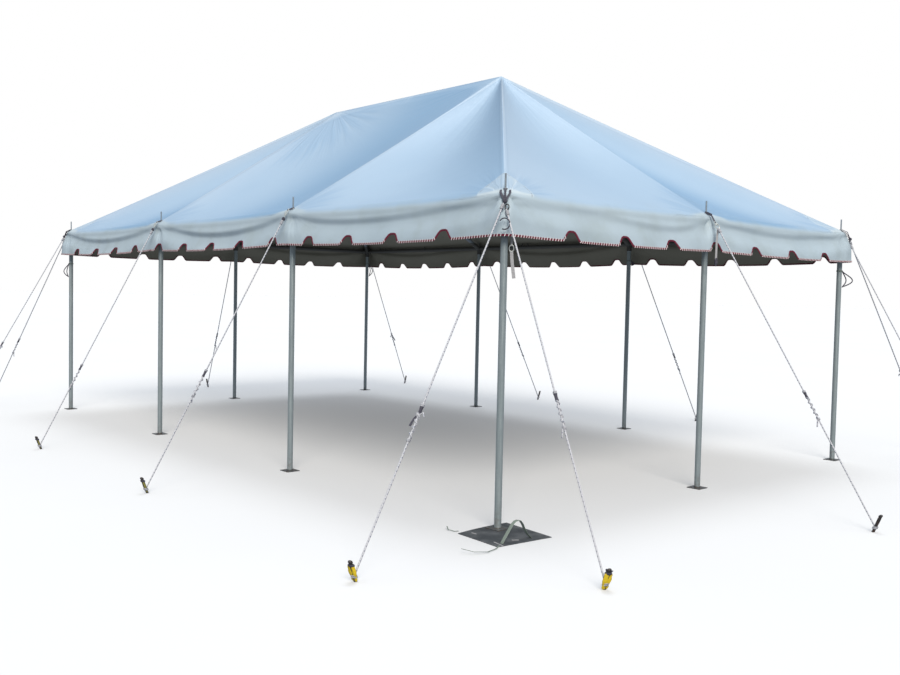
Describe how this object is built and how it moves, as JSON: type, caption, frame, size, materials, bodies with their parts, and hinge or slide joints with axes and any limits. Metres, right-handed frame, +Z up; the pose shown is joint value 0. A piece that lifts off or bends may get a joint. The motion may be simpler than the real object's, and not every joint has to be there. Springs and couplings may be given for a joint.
{
  "type": "frame marquee tent",
  "caption": "Open-sided hip-roof marquee: tube frame on legs with base plates, sewn canopy with scalloped valance, guy ropes and stakes",
  "frame": {"origin": "on the ground at the middle of the tent", "axes": "+X along the long side, the front at -Y, +Z up"},
  "size_m": [10.9206, 7.5176, 3.694],
  "materials": {
    "roof_vinyl": "satin coated vinyl, sky blue",
    "valance_vinyl": "satin coated vinyl, pale grey-blue with dark red bound edge",
    "tube": "galvanised, satin blue-grey",
    "frame_fittings": "galvanised, satin grey",
    "guy_rope": "white braid with dark flecks",
    "mat_rubber": "dark grey, semi-matt",
    "webbing": "grey-green woven webbing"
  },
  "bodies": {
    "root": {"roof_front_slope": "roof_vinyl", "roof_back_slope": "roof_vinyl", "roof_right_hip": "roof_vinyl", "roof_left_hip": "roof_vinyl", "valance_front": "valance_vinyl", "valance_back": "valance_vinyl", "valance_right": "valance_vinyl", "valance_left": "valance_vinyl", "leg_front_right": "tube", "leg_front_mid_right": "tube", "leg_front_mid_left": "tube", "leg_front_left": "tube", "leg_left_mid": "tube", "leg_back_left": "tube", "leg_back_mid_left": "tube", "leg_back_mid_right": "tube", "leg_back_right": "tube", "leg_right_mid": "tube", "rafter_front_right": "tube", "rafter_front_mid_right": "tube", "rafter_front_mid_left": "tube", "rafter_front_left": "tube", "rafter_left_mid": "tube", "rafter_back_left": "tube", "rafter_back_mid_left": "tube", "rafter_back_mid_right": "tube", "rafter_back_right": "tube", "rafter_right_mid": "tube", "eave_rail_front": "frame_fittings", "eave_rail_back": "frame_fittings", "eave_rail_right": "frame_fittings", "eave_rail_left": "frame_fittings", "ridge_frame": "frame_fittings", "guy_front_right_a": "guy_rope", "guy_front_right_b": "guy_rope", "guy_front_mid_right": "guy_rope", "guy_front_mid_left": "guy_rope", "guy_front_left_a": "guy_rope", "guy_front_left_b": "guy_rope", "guy_left_mid": "guy_rope", "guy_back_left_a": "guy_rope", "guy_back_left_b": "guy_rope", "guy_back_mid_left": "guy_rope", "guy_back_mid_right": "guy_rope", "guy_back_right_a": "guy_rope", "guy_back_right_b": "guy_rope", "guy_right_mid": "guy_rope", "corner_mat": "mat_rubber", "mat_strap_loop": "webbing"}
  },
  "joints": []
}
